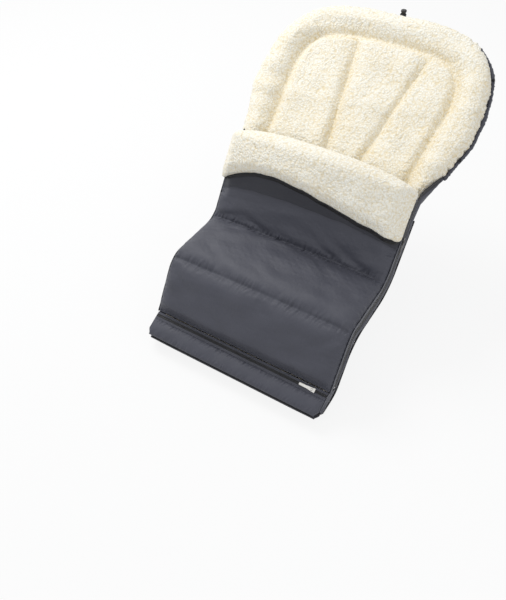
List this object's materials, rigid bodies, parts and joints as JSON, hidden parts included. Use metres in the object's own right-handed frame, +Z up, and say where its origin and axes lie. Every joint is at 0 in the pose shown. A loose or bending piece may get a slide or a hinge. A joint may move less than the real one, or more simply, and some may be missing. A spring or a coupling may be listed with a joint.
{
  "type": "pushchair footmuff",
  "caption": "Padded winter footmuff for a pushchair seat, with a fleece-lined back and head panel, a zipped quilted front cover that folds open, and a turned-down fleece cuff.",
  "frame": {"origin": "on the flat underside of the thigh part, in its middle, where the footmuff rests on the seat", "axes": "+Z up, +Y towards the head end, +X towards the side with the foot zip's slider at rest; alike left and right of X = 0"},
  "size_m": [0.508, 0.7244, 0.5087],
  "materials": {
    "shell_cloth": "slate grey woven shell cloth, faintly shiny",
    "fleece": "cream curly sherpa fleece",
    "wadding": "white polyester wadding",
    "black_tape": "black woven tape",
    "black_plastic": "black moulded plastic",
    "nickel": "nickel-plated metal"
  },
  "bodies": {
    "back": {"back_shell": "shell_cloth", "toe_shell": "shell_cloth", "side_gusset_left": "shell_cloth", "side_gusset_right": "shell_cloth", "back_lining": "fleece", "toe_lining": "fleece", "back_wadding": "wadding", "toe_wadding": "wadding", "shoulder_slot_binding_left": "black_tape", "shoulder_slot_binding_right": "black_tape", "waist_slot_binding_left": "black_tape", "waist_slot_binding_right": "black_tape", "crotch_slot_binding": "black_tape", "back_zip_tape_left": "black_tape", "back_zip_tape_right": "black_tape", "side_piping_left": "black_tape", "side_piping_right": "black_tape", "foot_zip_tape_upper": "black_tape", "foot_zip_tape_lower": "black_tape", "toe_piping": "black_tape", "cord_casing_left": "black_tape", "cord_casing_right": "black_tape", "drawcord": "black_tape", "back_zip_chain_left": "black_plastic", "back_zip_chain_right": "black_plastic", "foot_zip_chain_upper": "black_plastic", "foot_zip_chain_lower": "black_plastic", "cord_lock_barrel": "black_plastic", "zip_end_stop_left": "nickel", "zip_end_stop_right": "nickel", "cord_lock_spring": "nickel"},
    "cover": {"cover_shell": "shell_cloth", "cover_wadding": "wadding", "cover_lining": "fleece", "fold_roll": "fleece", "cover_zip_tape_left": "black_tape", "cover_zip_tape_right": "black_tape", "cover_zip_chain_left": "black_plastic", "cover_zip_chain_right": "black_plastic"},
    "cuff": {"cuff_facing": "shell_cloth", "cuff_wadding": "wadding", "cuff_fleece": "fleece", "cuff_band": "black_tape"},
    "side_slider_left": {"side_slider_left": "nickel"},
    "side_slider_right": {"side_slider_right": "nickel"},
    "side_pull_left": {"side_pull_left": "nickel"},
    "side_pull_right": {"side_pull_right": "nickel"},
    "foot_slider": {"foot_slider": "nickel"},
    "foot_pull": {"foot_pull": "nickel"},
    "cord_lock_button": {"cord_lock_button": "black_plastic"}
  },
  "joints": [
    {"name": "cover_open", "type": "hinge", "parent": "back", "child": "cover", "pos_m": [0, -0.1498, -0.0238], "axis": [1, 0, 0], "range_deg": [0, 80]},
    {"name": "cuff_fold", "type": "hinge", "parent": "cover", "child": "cuff", "pos_m": [0, 0.1073, 0.2811], "axis": [-1, 0, 0], "range_deg": [0, 170]},
    {"name": "side_slider_left_slide", "type": "slide", "parent": "back", "child": "side_slider_left", "axis": [0, 0.5446, 0.8387], "range_m": [0, 0.065]},
    {"name": "side_slider_right_slide", "type": "slide", "parent": "back", "child": "side_slider_right", "axis": [0, 0.5446, 0.8387], "range_m": [0, 0.065]},
    {"name": "side_pull_left_turn", "type": "hinge", "parent": "side_slider_left", "child": "side_pull_left", "pos_m": [-0.21, 0.1331, 0.1535], "axis": [0, 0.8387, -0.5446], "range_deg": [0, 170]},
    {"name": "side_pull_right_turn", "type": "hinge", "parent": "side_slider_right", "child": "side_pull_right", "pos_m": [0.21, 0.1331, 0.1535], "axis": [0, -0.8387, 0.5446], "range_deg": [0, 170]},
    {"name": "foot_slider_slide", "type": "slide", "parent": "back", "child": "foot_slider", "axis": [-1, 0, 0], "range_m": [0, 0.344]},
    {"name": "foot_pull_turn", "type": "hinge", "parent": "foot_slider", "child": "foot_pull", "pos_m": [0.172, -0.1584, -0.0249], "axis": [0, 0.8988, 0.4384], "range_deg": [0, 180]},
    {"name": "cord_lock_press", "type": "slide", "parent": "back", "child": "cord_lock_button", "axis": [0, 0, -1], "range_m": [0, 0.0035], "stiffness_N_per_m": 600, "springref_m": -0.003, "deforming": ["cord_lock_spring"]}
  ]
}
